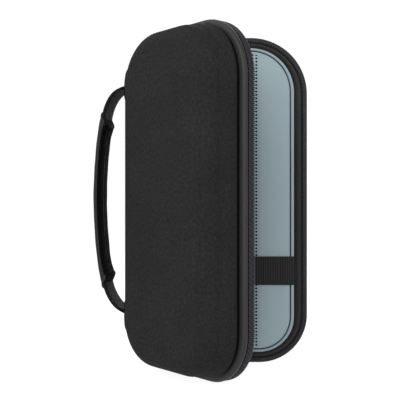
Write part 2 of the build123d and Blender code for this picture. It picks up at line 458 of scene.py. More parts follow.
def read_outline(record: dict) -> Outline:
    """Take the outline's size and the hinge from the frame.

    Args:
        record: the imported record.

    Returns:
        The outline.
    """
    low, high = (Vector(corner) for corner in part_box("base_rim_binding"))
    hinge = find_joint(record, "lid_hinge")
    place = Vector(hinge["pos_m"])
    return Outline((high.x - low.x) / 2, (high.z - low.z) / 2, place.y,
                   Vector((place.x, place.y, 0)), math.radians(-hinge["range_deg"][0]))


# ---- shared shader groups -------------------------------------------------------------------
class Shade:
    """Adds nodes and links to one node tree."""

    def __init__(self, tree: bpy.types.NodeTree) -> None:
        """Keep the tree to add to."""
        self.tree = tree

    def node(self, kind: str, **settings: object) -> bpy.types.Node:
        """Add a node.

        Args:
            kind: the node's type without the ShaderNode prefix.
            settings: its properties.

        Returns:
            The node.
        """
        made = self.tree.nodes.new("ShaderNode" + kind)
        for key, value in settings.items():
            setattr(made, key, value)
        return made

    def noise(self, place: Optional[bpy.types.NodeSocket], scale: object,
              detail: float = 2.0) -> bpy.types.NodeSocket:
        """Add a noise texture.

        Args:
            place: the texture's coordinates, or None for its own.
            scale: a number or a socket.
            detail: its detail.

        Returns:
            The noise, from 0 to 1.
        """
        made = self.node("TexNoise")
        if place is not None:
            self.link(place, made.inputs["Vector"])
        self.feed(scale, made.inputs["Scale"])
        made.inputs["Detail"].default_value = detail
        return made.outputs[0]

    def feed(self, value: object, socket: bpy.types.NodeSocket) -> None:
        """Give a socket another socket, a number or a colour."""
        if isinstance(value, bpy.types.NodeSocket):
            self.link(value, socket)
        elif isinstance(value, (int, float)):
            socket.default_value = value
        else:
            socket.default_value = (*value, 1.0)

    def link(self, source: bpy.types.NodeSocket, target: bpy.types.NodeSocket) -> None:
        """Join two sockets."""
        self.tree.links.new(source, target)

    def math(self, operation: str, *values: object) -> bpy.types.NodeSocket:
        """Add a Math node fed by sockets or numbers.

        Args:
            operation: the Math node's operation.
            values: sockets or numbers, in order.

        Returns:
            The output socket.
        """
        made = self.node("Math", operation=operation)
        for socket, value in zip(made.inputs, values):
            self.feed(value, socket)
        return made.outputs[0]

    def mix(self, share: object, low: object, high: object) -> bpy.types.NodeSocket:
        """Mix two colours by a share, each a socket or a value."""
        made = self.node("Mix", data_type="RGBA")
        for number, value in ((0, share), (6, low), (7, high)):
            self.feed(value, made.inputs[number])
        return made.outputs[2]

    def span(self, value: bpy.types.NodeSocket, low: float, high: float,
             out_low: float = 0.0, out_high: float = 1.0) -> bpy.types.NodeSocket:
        """Map a range smoothly onto another."""
        made = self.node("MapRange", interpolation_type="SMOOTHSTEP")
        self.link(value, made.inputs[0])
        for socket, number in zip(list(made.inputs)[1:5], (low, high, out_low, out_high)):
            socket.default_value = number
        return made.outputs[0]


def new_group(name: str, inputs: dict[str, float], outputs: list[str]) -> tuple[Shade, dict, dict]:
    """Start a shader node group with a Vector input, number inputs and number outputs.

    Args:
        name: the group's name.
        inputs: number inputs and their defaults.
        outputs: number outputs.

    Returns:
        The helper, the group's inputs by name and its output node's sockets by name.
    """
    tree = bpy.data.node_groups.new(name, "ShaderNodeTree")
    tree.interface.new_socket("Vector", in_out="INPUT", socket_type="NodeSocketVector")
    for key, value in inputs.items():
        tree.interface.new_socket(key, in_out="INPUT", socket_type="NodeSocketFloat").default_value = value
    for key in outputs:
        tree.interface.new_socket(key, in_out="OUTPUT", socket_type="NodeSocketFloat")
    entry = tree.nodes.new("NodeGroupInput")
    leave = tree.nodes.new("NodeGroupOutput")
    return Shade(tree), {s.name: s for s in entry.outputs}, {s.name: s for s in leave.inputs}


def twill_group() -> bpy.types.NodeTree:
    """Woven cloth: over-and-under floats in stepped diagonals, with Scale threads a metre."""
    just_under_half, slub_scale = 0.49, 420.0
    shade, entry, leave = new_group("woven_cloth", {"Scale": 1600.0, "Step": 0.25, "Slub": 0.25, "Weft": 0.8},
                                    ["Height", "Warp"])
    split = shade.node("SeparateXYZ")
    shade.link(entry["Vector"], split.inputs[0])
    u = shade.math("MULTIPLY", split.outputs[0], entry["Scale"])
    v = shade.math("MULTIPLY", split.outputs[1], entry["Scale"])
    column = shade.math("FLOOR", u)
    row = shade.math("FLOOR", v)
    shift = shade.math("MULTIPLY", row, entry["Step"])
    phase = shade.math("FRACT", shade.math("ADD", shade.math("MULTIPLY", column, entry["Step"]), shift))
    over = shade.math("GREATER_THAN", phase, just_under_half)
    across_u, across_v = (shade.math("SINE", shade.math("MULTIPLY", shade.math("FRACT", way), math.pi))
                          for way in (u, v))
    warp = shade.math("MULTIPLY", over, across_u)
    under = shade.math("SUBTRACT", 1.0, over)
    weft = shade.math("MULTIPLY", under, shade.math("MULTIPLY", across_v, entry["Weft"]))
    noise = shade.noise(entry["Vector"], slub_scale)
    slub = shade.math("MULTIPLY", shade.math("SUBTRACT", noise, 0.5), entry["Slub"])
    shade.link(shade.math("ADD", shade.math("ADD", warp, weft), slub), leave["Height"])
    shade.link(over, leave["Warp"])
    return shade.tree


def cloudy_group() -> bpy.types.NodeTree:
    """Slow unevenness of a cloth or skin, for colour and roughness."""
    shade, entry, leave = new_group("slow_variation", {"Scale": 30.0, "Contrast": 1.0}, ["Value", "Fine"])
    for key, factor in (("Value", 1.0), ("Fine", 14.0)):
        noise = shade.noise(entry["Vector"], shade.math("MULTIPLY", entry["Scale"], factor), 4.0)
        centred = shade.math("MULTIPLY", shade.math("SUBTRACT", noise, 0.5), entry["Contrast"])
        shade.link(shade.math("ADD", centred, 0.5), leave[key])
    return shade.tree


def rib_group() -> bpy.types.NodeTree:
    """Parallel ribs across the first axis, with a finer cross rib, as in webbing and elastic."""
    shade, entry, leave = new_group("ribs", {"Pitch": 0.0012, "Cross": 0.0006}, ["Height", "Shade"])
    split = shade.node("SeparateXYZ")
    shade.link(entry["Vector"], split.inputs[0])
    along = shade.math("DIVIDE", split.outputs[0], entry["Pitch"])
    cross = shade.math("DIVIDE", split.outputs[1], entry["Cross"])
    ribs = shade.math("ABSOLUTE", shade.math("SINE", shade.math("MULTIPLY", along, math.pi)))
    offset = shade.math("MULTIPLY", shade.math("FLOOR", along), 0.5)
    knots = shade.math("SINE", shade.math("MULTIPLY", shade.math("ADD", cross, offset), 2 * math.pi))
    shade.link(shade.math("ADD", ribs, shade.math("MULTIPLY", knots, 0.3)), leave["Height"])
    shade.link(ribs, leave["Shade"])
    return shade.tree


def grain_group() -> bpy.types.NodeTree:
    """Pebbled grain of a coated or synthetic-leather skin."""
    shade, entry, leave = new_group("skin_grain", {"Scale": 900.0, "Creases": 0.3}, ["Height"])
    cells = shade.node("TexVoronoi", feature="DISTANCE_TO_EDGE")
    shade.link(entry["Vector"], cells.inputs["Vector"])
    shade.link(entry["Scale"], cells.inputs["Scale"])
    noise = shade.noise(entry["Vector"], shade.math("MULTIPLY", entry["Scale"], 0.2), 5.0)
    pebble = shade.span(cells.outputs["Distance"], 0.0, 0.25)
    crease = shade.math("MULTIPLY", noise, entry["Creases"])
    shade.link(shade.math("ADD", pebble, crease), leave["Height"])
    return shade.tree


# ---- finishes -------------------------------------------------------------------------------
class Weave(Enum):
    """The surface pattern a finish is built on; the value is its node group's name."""

    TWILL = "woven_cloth"
    RIBS = "ribs"
    GRAIN = "skin_grain"
    PLAIN = "slow_variation"


@dataclass(frozen=True)
class Finish:
    """One finish: a pattern, its two tones, its gloss and its relief."""

    name: str
    weave: Weave
    dark: tuple[float, float, float]
    light: tuple[float, float, float]
    rough: float
    relief: float
    use_uv: bool = True
    settings: tuple[tuple[str, float], ...] = ()
    sheen: float = 0.0
    coat: float = 0.0
    cloud_scale: float = 30.0
    cloud: float = 0.15
    specular: float = 0.5

    def material(self) -> bpy.types.Material:
        """Build the material, or find the one already built.

        Returns:
            The material.
        """
        found = bpy.data.materials.get(self.name)
        if found is not None:
            return found
        made = bpy.data.materials.new(self.name)
        made.use_nodes = True
        shade = Shade(made.node_tree)
        shader = made.node_tree.nodes["Principled BSDF"]
        place = shade.node("TexCoord")
        pattern_place = place.outputs["UV"] if self.use_uv else place.outputs["Object"]
        pattern = shade.node("Group")
        pattern.node_tree = bpy.data.node_groups[self.weave.value]
        shade.link(pattern_place, pattern.inputs["Vector"])
        for key, value in self.settings:
            pattern.inputs[key].default_value = value
        cloud = shade.node("Group")
        cloud.node_tree = bpy.data.node_groups[Weave.PLAIN.value]
        shade.link(place.outputs["Object"], cloud.inputs["Vector"])
        cloud.inputs["Scale"].default_value = self.cloud_scale
        height = pattern.outputs[0]
        share = shade.math("MINIMUM", shade.math("MAXIMUM", height, 0.0), 1.0)
        tone = shade.mix(share, self.dark, self.light)
        deep = tuple(channel * (1 - self.cloud) for channel in self.dark)
        patch = shade.math("MULTIPLY", cloud.outputs["Value"], self.cloud)
        shade.link(shade.mix(patch, tone, deep), shader.inputs["Base Color"])
        shade.link(shade.span(cloud.outputs["Fine"], 0.2, 0.8, self.rough - 0.05, self.rough + 0.05),
                   shader.inputs["Roughness"])
        bump = shade.node("Bump")
        bump.inputs["Distance"].default_value = self.relief
        bump.inputs["Strength"].default_value = 1.0
        shade.link(height, bump.inputs["Height"])
        shade.link(bump.outputs[0], shader.inputs["Normal"])
        even = {"Metallic": 0.0, "Sheen Weight": self.sheen, "Sheen Roughness": 0.45,
                "Coat Weight": self.coat, "Coat Roughness": 0.3, "Specular IOR Level": self.specular}
        for key, value in even.items():
            shader.inputs[key].default_value = value
        return made

    def dress(self, piece: bpy.types.Object) -> None:
        """Put the finish on a piece.

        Args:
            piece: the object to dress.
        """
        piece.data.materials.clear()
        piece.data.materials.append(self.material())


COVER = Finish("case_cover_cloth", Weave.TWILL, (0.002, 0.002, 0.0021), (0.032, 0.032, 0.0325), 0.82, 0.00014,
               settings=(("Scale", 1080.0), ("Step", 0.5), ("Slub", 0.9), ("Weft", 0.3)), specular=0.09,
               cloud=0.45)
BINDING = Finish("case_binding", Weave.GRAIN, (0.011, 0.011, 0.0114), (0.0165, 0.0165, 0.017), 0.52, 0.00003,
                 use_uv=False, settings=(("Scale", 1500.0), ("Creases", 0.4)), sheen=0.02, specular=0.24)
# Darker copy of the binding's colours: painted shade on the inner binding, which sits turned away from the
# light.
INNER_BINDING_PAINTED_SHADE = Finish("case_inner_binding", Weave.GRAIN, (0.0065, 0.0065, 0.0068), (0.0105, 0.0105, 0.0109),
                       0.54, 0.00003, use_uv=False, settings=(("Scale", 1500.0), ("Creases", 0.4)),
                       sheen=0.01, specular=0.2)
TAPE = Finish("case_zip_tape", Weave.TWILL, (0.006, 0.0055, 0.007), (0.042, 0.038, 0.046), 0.8, 0.00015,
              settings=(("Scale", 1000.0), ("Slub", 0.3), ("Weft", 0.35)), specular=0.12)
COIL = Finish("case_zip_coil", Weave.PLAIN, (0.013, 0.013, 0.015), (0.03, 0.029, 0.033), 0.42, 0.000005,
              use_uv=False, specular=0.4)
LINING = Finish("case_grey_lining", Weave.TWILL, (0.168, 0.222, 0.242), (0.224, 0.284, 0.304), 0.72, 0.000022,
                settings=(("Scale", 3200.0), ("Slub", 0.3)), sheen=0.1, cloud=0.06, specular=0.3)
SEAM = Finish("case_groove_thread", Weave.PLAIN, (0.012, 0.024, 0.028), (0.02, 0.036, 0.041), 0.8, 0.00001,
              use_uv=False, specular=0.1)
# Near black: the vent backing's own colour, and also painted shadow where it dresses the sunk seam groove.
VENT_BLACK_AND_GROOVE_SHADOW = Finish("case_vent_black", Weave.PLAIN, (0.0006, 0.0015, 0.0018), (0.0012, 0.002, 0.0024), 0.95,
              0.00001, use_uv=False, specular=0.05)
ELASTIC = Finish("case_elastic", Weave.RIBS, (0.002, 0.002, 0.002), (0.02, 0.02, 0.0205), 0.85, 0.00025,
                 settings=(("Pitch", 0.0021), ("Cross", 0.0008)), specular=0.2)
WEBBING = Finish("case_webbing", Weave.TWILL, (0.0015, 0.0015, 0.0016), (0.011, 0.011, 0.0115), 0.75, 0.0003,
                 settings=(("Scale", 900.0), ("Slub", 0.15), ("Weft", 0.4)), specular=0.12)
GRIP = Finish("case_grip_skin", Weave.GRAIN, (0.005, 0.005, 0.0052), (0.010, 0.010, 0.0103), 0.55, 0.00008,
              use_uv=False, settings=(("Scale", 1000.0), ("Creases", 0.9)), specular=0.18, sheen=0.02)
# Grip's inner faces: the wrap darkened to near black, as painted shade where it turns in towards the shell.
GRIP_PAINTED_SHADE = Finish("case_grip_underside", Weave.TWILL, (0.0008, 0.0008, 0.0009), (0.004, 0.004, 0.0042), 0.9,
                   0.0001, use_uv=False, settings=(("Scale", 1400.0), ("Slub", 0.3)), specular=0.05)
FOAM = Finish("case_eva_foam", Weave.GRAIN, (0.04, 0.04, 0.043), (0.06, 0.06, 0.064), 0.85, 0.00008,
              use_uv=False, settings=(("Scale", 1400.0),), specular=0.2)
THREAD = Finish("case_thread", Weave.PLAIN, (0.012, 0.012, 0.013), (0.03, 0.03, 0.032), 0.6, 0.00001,
                use_uv=False)
METAL = Finish("case_slider_enamel", Weave.PLAIN, (0.012, 0.012, 0.013), (0.02, 0.02, 0.021), 0.32, 0.000004,
               use_uv=False, coat=0.25, cloud_scale=120.0)
RUBBER = Finish("case_pull_rubber", Weave.GRAIN, (0.014, 0.014, 0.015), (0.02, 0.02, 0.021), 0.62, 0.00003,
                use_uv=False, settings=(("Scale", 2200.0),), specular=0.35)
STIFFENER = Finish("case_stiffener", Weave.PLAIN, (0.25, 0.25, 0.25), (0.33, 0.33, 0.33), 0.5, 0.00001,
                   use_uv=False)


# ---- studio ---------------------------------------------------------------------------------
@dataclass(frozen=True)
class Lamp:
    """One soft square light: where it stands, its side in metres and its power in watts."""

    name: str
    place: tuple[float, float, float]
    size: float
    power: float


@dataclass
class Studio:
    """Camera, lights, surroundings and floor."""

    outline: Outline
    lamps: tuple[Lamp, ...] = (Lamp("key_light", (0.55, -0.95, 0.75), 1.1, 17.0),
                               Lamp("side_light", (1.25, 0.15, 0.35), 0.9, 4.5),
                               Lamp("back_light", (-0.8, -0.6, 0.9), 0.9, 5.0),
                               Lamp("front_light", (0.95, -0.73, 0.1), 0.35, 2.6),
                               Lamp("rear_light", (-0.9, 1.2, 0.7), 1.0, 9.0))
    focal: float = 74.25
    sensor: float = 36.0
    distance: Place = (2.0996, -1.438)
    sight: Place = (-0.7943, 0.6074)
    world_light: float = 0.62
    world_seen: float = 1.05
    floor_size: float = 40.0
    floor_gap: float = 0.2 * MM
    paper_glow: float = 0.94
    paper_tones: Place = (0.14, 0.17)
    paper_grain: float = 900.0

    def build(self) -> None:
        """Make the studio."""
        self.camera()
        self.world()
        self.floor()
        for lamp in self.lamps:
            self.light(lamp)

    def camera(self) -> None:
        """Place the camera at mid-height, well off the free edge, level."""
        height = 2 * self.outline.half_height
        spine = Vector((-self.outline.half_width, self.outline.parting, 0))
        place = spine + Vector((self.distance[0] * height, self.distance[1] * height, 0))
        clear_selection()
        bpy.ops.object.camera_add(location=place)
        camera = bpy.context.object
        camera.name = "case_camera"
        camera.data.lens = self.focal
        camera.data.sensor_width = self.sensor
        camera.rotation_euler = Vector((*self.sight, 0)).to_track_quat("-Z", "Y").to_euler()
        bpy.context.scene.camera = camera

    def world(self) -> None:
        """White surroundings, which light the case less than they show behind it."""
        world = bpy.data.worlds.new("studio_world")
        world.use_nodes = True
        background = world.node_tree.nodes["Background"]
        background.inputs[0].default_value = (1, 1, 1, 1)
        background.inputs[1].default_value = self.world_light
        shade = Shade(world.node_tree)
        seen = shade.node("Background")
        seen.inputs[0].default_value = (1, 1, 1, 1)
        seen.inputs[1].default_value = self.world_seen
        choice = shade.node("MixShader")
        shade.link(shade.node("LightPath").outputs["Is Camera Ray"], choice.inputs[0])
        shade.link(background.outputs[0], choice.inputs[1])
        shade.link(seen.outputs[0], choice.inputs[2])
        shade.link(choice.outputs[0], world.node_tree.nodes["World Output"].inputs[0])
        bpy.context.scene.world = world
        bpy.context.scene.view_settings.view_transform = "Standard"

    def floor(self) -> None:
        """Pale floor under the case."""
        clear_selection()
        level = -self.outline.half_height - self.floor_gap
        bpy.ops.mesh.primitive_plane_add(size=self.floor_size, location=(0, 0, level))
        floor = name_piece("studio_floor")
        settle(floor)
        floor.data.materials.append(self.paper())

    def paper(self) -> bpy.types.Material:
        """White lit paper: it glows by itself, so that only a faint shadow lies on it.

        Returns:
            The material.
        """
        made = bpy.data.materials.new("studio_paper")
        made.use_nodes = True
        shade = Shade(made.node_tree)
        shader = made.node_tree.nodes["Principled BSDF"]
        low, high = ((tone, tone, tone) for tone in self.paper_tones)
        grain = shade.noise(None, self.paper_grain)
        shade.link(shade.mix(grain, low, high), shader.inputs["Base Color"])
        shader.inputs["Roughness"].default_value = 0.95
        shader.inputs["Specular IOR Level"].default_value = 0.0
        shader.inputs["Emission Color"].default_value = (1, 1, 1, 1)
        shader.inputs["Emission Strength"].default_value = self.paper_glow
        return made

    def light(self, lamp: Lamp) -> None:
        """Add one light aimed at the case.

        Args:
            lamp: the light's name, place, size and power.
        """
        clear_selection()
        bpy.ops.object.light_add(type="AREA", location=lamp.place)
        made = bpy.context.object
        made.name = lamp.name
        made.data.size = lamp.size
        made.data.energy = lamp.power
        made.rotation_euler = (-Vector(lamp.place)).to_track_quat("-Z", "Y").to_euler()


# ---- rows of small repeated shapes ----------------------------------------------------------
def read_shape(piece: bpy.types.Object) -> Shape:
    """Read a small piece's mesh and remove the piece.

    Args:
        piece: the piece that is to be copied.

    Returns:
        Its vertices and faces.
    """
    verts = [vertex.co.copy() for vertex in piece.data.vertices]
    faces = [tuple(polygon.vertices) for polygon in piece.data.polygons]
    bpy.data.objects.remove(piece)
    return verts, faces


def small_bar(length: float, radius: float, sides: int) -> bpy.types.Object:
    """Add one small bar along X.

    Args:
        length: its length.
        radius: its radius.
        sides: sides round it.

    Returns:
        The bar.
    """
    clear_selection()
    bpy.ops.mesh.primitive_cylinder_add(vertices=sides, radius=radius, depth=length,
                                        rotation=(0, math.pi / 2, 0))
    bar = name_piece("small_bar")
    settle(bar)
    return bar


def stitch_shape(length: float, radius: float, bulge: float) -> Shape:
    """Model one stitch, thicker in its middle than at its ends.

    Args:
        length: its length.
        radius: its radius.
        bulge: how much thicker its middle is.

    Returns:
        Its vertices and faces.
    """
    bar = small_bar(length, radius, 6)
    with editing(bar):
        for side in (0.3, -0.3):
            bpy.ops.mesh.select_all(action="SELECT")
            bpy.ops.mesh.bisect(plane_co=(side * length, 0, 0), plane_no=(1, 0, 0))
    for vertex in bar.data.vertices:
        if abs(vertex.co.x) > length * 0.4:
            vertex.co.y *= 1 - bulge
            vertex.co.z *= 1 - bulge
    return read_shape(bar)


def copies(name: str, shape: Shape, places: list[Matrix]) -> bpy.types.Object:
    """Copy a small shape to many places in one mesh.

    Args:
        name: the piece's name.
        shape: vertices and faces.
        places: a matrix for each copy.

    Returns:
        The piece.
    """
    verts: list[Vector] = []
    faces: list[tuple[int, ...]] = []
    for place in places:
        base = len(verts)
        verts += [place @ point for point in shape[0]]
        faces += [tuple(base + v for v in side) for side in shape[1]]
    mesh = bpy.data.meshes.new(name)
    mesh.from_pydata(verts, [], faces)
    piece = bpy.data.objects.new(name, mesh)
    bpy.context.scene.collection.objects.link(piece)
    face_outwards(piece)
    smooth(piece, 50)
    return piece


def frame_matrix(place: Vector, x_axis: Vector, y_axis: Vector) -> Matrix:
    """Matrix that puts a shape's X and Y along two directions at a place."""
    x_dir = x_axis.normalized()
    z_dir = x_dir.cross(y_axis).normalized()
    y_dir = z_dir.cross(x_dir)
    turn = Matrix((x_dir, y_dir, z_dir)).transposed().to_4x4()
    return Matrix.Translation(place) @ turn


def walk(plan: Profile, pitch: float, skip_start: float = 0.0,
         skip_end: float = 0.0) -> list[tuple[Place, Place]]:
    """Even steps round a closed plan.

    Args:
        plan: the closed line's points.
        pitch: the step, fitted to a whole number.
        skip_start: length left out at the line's start.
        skip_end: length left out at its end.

    Returns:
        Place and direction of each step.
    """
    lengths = distances(plan, closed=True)
    stretch = lengths[-1] - skip_end - skip_start
    count = int(stretch / pitch)
    steps = []
    segment = 0
    for number in range(count):
        spot = skip_start + (number + 0.5) * stretch / count
        while lengths[segment + 1] < spot:
            segment += 1
        a, b = plan[segment], plan[(segment + 1) % len(plan)]
        length = lengths[segment + 1] - lengths[segment]
        share = (spot - lengths[segment]) / length
        place = (a[0] + (b[0] - a[0]) * share, a[1] + (b[1] - a[1]) * share)
        steps.append((place, ((b[0] - a[0]) / length, (b[1] - a[1]) / length)))
    return steps


def plan_uv(piece: bpy.types.Object, across: int = 0, up: int = 2) -> None:
    """Lay a piece's UV map flat, on the case's face unless told otherwise.

    Args:
        piece: the piece, still in the base's place.
        across: the axis that becomes U.
        up: the axis that becomes V.
    """
    mesh = piece.data
    layer = cloth_layer(mesh)
    for loop in mesh.loops:
        point = mesh.vertices[loop.vertex_index].co
        layer.data[loop.index].uv = (point[across], point[up])


def smoothstep(low: float, high: float, value: float) -> float:
    """Smooth share of a value between two limits."""
    share = min(max((value - low) / (high - low), 0.0), 1.0)
    return share * share * (3 - 2 * share)


def ripple(value: float, height: float, place: float, reach: float) -> float:
    """Height of a rounded rise at a value: full at its place, and faded beyond its reach."""
    return height * math.exp(-((value - place) / reach) ** 2)


# ---- shell ----------------------------------------------------------------------------------
@dataclass
class Shell:
    """Cloth cover, bindings, zip tape and coil of one half."""

    outline: Outline
    half: Half
    depth: float
    fillet: float
    fillet_steps: int = 14
    cover_wall: float = 1.0 * MM
    cover_lip: float = 1.3 * MM
    lip_overlap: float = 0.6 * MM
    wall_shares: tuple[float, ...] = (0.2, 0.4, 0.6, 0.8)
    face_scales: tuple[float, ...] = (0.97, 0.9, 0.8, 0.66, 0.5, 0.34, 0.18, 0.06)
    crown: float = 0.3 * MM
    seam_ease: float = 0.9 * MM
    band_start: float = 6.5 * MM
    band_end: float = 11.7 * MM
    band_back: float = 5.6 * MM
    seam_inset: float = 5.0 * MM
    seam_wall: float = 0.55 * MM
    seam_width: float = 2.7 * MM
    inner_inset: float = 4.4 * MM
    inner_width: float = 7.0 * MM
    inner_top: float = 2.2 * MM
    inner_foot: float = 5.5 * MM
    end_ease: float = 2.4 * MM
    tooth_pitch: float = 1.5 * MM
    tooth_length: float = 3.1 * MM
    tooth_radius: float = 0.42 * MM
    tooth_inset: float = 1.9 * MM
    tooth_depth: float = 1.05 * MM

    def name(self, piece: str) -> str:
        """The half's name before a piece's."""
        return f"{self.half.value}_{piece}"

    def ring_piece(self, piece: str, profile: Profile, finish: Finish, replaced: list[str],
                   end_ease: float = 0.0) -> bpy.types.Object:
        """Sweep a closed section round the outline.

        Args:
            piece: the piece's name after the half's.
            profile: inset and depth of each point of the section.
            finish: its finish.
            replaced: CAD nodes it stands for, after the half's name.
            end_ease: how much narrower its inner side is at the short ends.

        Returns:
            The piece.
        """
        insets = [inset for inset, _ in profile]
        least, most = min(insets), max(insets)
        rings = [self.outline.ring(inset, depth, end_ease * (inset - least) / (most - least))
                 for inset, depth in profile]
        along, across = self.outline.lengths(), distances(profile, closed=True)
        made = loft(self.name(piece), rings, closed=True, uv=lambda i, j: (along[i], across[j]))
        smooth(made)
        self.outline.to_half(made, self.half)
        finish.dress(made)
        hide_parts(*[self.name(node) for node in replaced])
        return made

    def cover_profile(self) -> Profile:
        """Section of the cover from the seam down the drafted wall and round to the face."""
        outline, lip = self.outline, self.cover_lip
        start = outline.seam_depth - self.lip_overlap
        profile = [(outline.wall_inset + lip, start), (outline.wall_inset + 0.25 * lip, start + 0.2 * lip),
                   (outline.wall_inset, start + lip)]
        rounding = outline.floor_rounding(outline.wall_inset, self.depth, self.fillet, self.fillet_steps)
        wall = rounding[0][1] - start - lip
        for share in self.wall_shares:
            depth = start + lip + wall * share
            profile.append((outline.wall_inset + outline.drafted(depth), depth))
        return profile + rounding

    def cover(self) -> None:
        """Moulded cloth cover: wall, rounding and a faintly sunk face."""
        profile = self.cover_profile()
        edge_inset, edge_depth = profile[-1]
        seam = self.outline.seam_depth
        rings = []
        for inset, depth in profile:
            above = min(max(1 - (depth - seam) / (edge_depth - seam), 0.0), 1.0)
            rings.append(self.outline.ring(inset, depth, self.seam_ease * above ** 2))
        for scale in self.face_scales:
            rings.append(self.outline.ring(edge_inset, edge_depth - self.dish(scale), scale=scale))
        along = distances(profile)
        unrolled = [self.outline.plan(edge_inset - (along[-1] - length)) for length in along]
        unrolled += [[(point.x, point.z) for point in ring] for ring in rings[len(profile):]]
        last, points = len(rings) - 1, len(rings[0])
        made = loft(self.name("cloth_cover"), rings, cap=True,
                    uv=lambda i, j: unrolled[min(j, last)][i % points])
        thicken(made, self.cover_wall)
        smooth(made)
        self.outline.to_half(made, self.half)
        COVER.dress(made)
        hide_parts(self.name("fabric_cover"))

    def dish(self, scale: float) -> float:
        """How far the moulded face has sunk, at a share of the way out to its edge."""
        return self.crown * (1 - scale * scale)

    def bindings(self) -> None:
        """Rounded rim binding outside, the sunk seam tape under it in near black as painted shadow of the
        groove, and the inner binding.
        """
        start, end, back = self.band_start, self.band_end, self.band_back
        outer = [(back, end), (2.6 * MM, end), (1.2 * MM, end - 0.35 * MM), (0.35 * MM, end - 1.2 * MM),
                 (0.02 * MM, end - 2.4 * MM), (0.0, (start + end) / 2), (0.1 * MM, start + 1.6 * MM),
                 (0.45 * MM, start + 0.7 * MM), (1.1 * MM, start + 0.12 * MM), (2.6 * MM, start),
                 (back, start)]
        self.ring_piece("binding", outer, BINDING, ["rim_binding"])
        # The sunk seam tape is dressed near black: painted shadow of the groove between binding and cover.
        near, far = self.seam_inset, self.seam_inset + self.seam_wall
        seam = [(far, end), (near, end), (near, end + self.seam_width), (far, end + self.seam_width)]
        self.ring_piece("sunk_seam", seam, VENT_BLACK_AND_GROOVE_SHADOW, ["seam_tape"])
        low, wide = self.inner_inset, self.inner_width
        top, start = self.inner_top, self.inner_foot
        inner = [(low, start), (low + 0.05 * MM, top + 0.9 * MM), (low + 0.6 * MM, top + 0.15 * MM),
                 (low + 1.7 * MM, top), (low + 3.2 * MM, top + 0.15 * MM), (low + 4.8 * MM, top + 0.7 * MM),
                 (low + 6.1 * MM, top + 1.5 * MM), (low + wide, top + 2.6 * MM), (low + wide, start)]
        self.ring_piece("inner_edge_binding", inner, INNER_BINDING_PAINTED_SHADE, ["inner_binding"],
                        self.end_ease)

    def zip_edge(self) -> None:
        """Woven tape at the edge, and the row of coil teeth on it."""
        tape = [(0.3 * MM, 6.45 * MM), (0.25 * MM, 2.1 * MM), (0.6 * MM, 1.75 * MM), (4.2 * MM, 1.75 * MM),
                (4.35 * MM, 2.1 * MM), (4.35 * MM, 6.45 * MM)]
        self.ring_piece("zip_tape_cloth", tape, TAPE, ["zip_tape"])
        self.teeth()

    def teeth(self) -> None:
        """Coil teeth from one end of the spine's straight stretch round to the other."""
        height, radii = self.outline.half_height, self.outline.radii
        depth = self.outline.parting - self.tooth_depth
        steps = walk(self.outline.plan(self.tooth_inset), self.tooth_pitch, height - radii["spine_bottom"],
                     height - radii["spine_top"])
        places = [frame_matrix(Vector((x, depth, z)), Vector((-run_z, 0, run_x)), Vector((0, -1, 0)))
                  for (x, z), (run_x, run_z) in steps]
        made = copies(self.name("coil_teeth"), self.tooth_shape(), places)
        self.outline.to_half(made, self.half)
        COIL.dress(made)
        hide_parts(self.name("zip_coil"))

    def tooth_shape(self) -> Shape:
        """One bent turn of the coil: a short flat bar with a bulged head."""
        tooth = small_bar(self.tooth_length, self.tooth_radius, 7)
        with editing(tooth):
            bpy.ops.transform.resize(value=(1.0, 1.7, 1.15))
        for vertex in tooth.data.vertices:
            if vertex.co.x < 0:
                vertex.co.y *= 1.15
                vertex.co.z *= 1.3
        return read_shape(tooth)

    def build(self) -> None:
        """Model and dress everything on this half's shell."""
        self.cover()
        self.bindings()
        self.zip_edge()
        log.info("%s shell done", self.half.value)


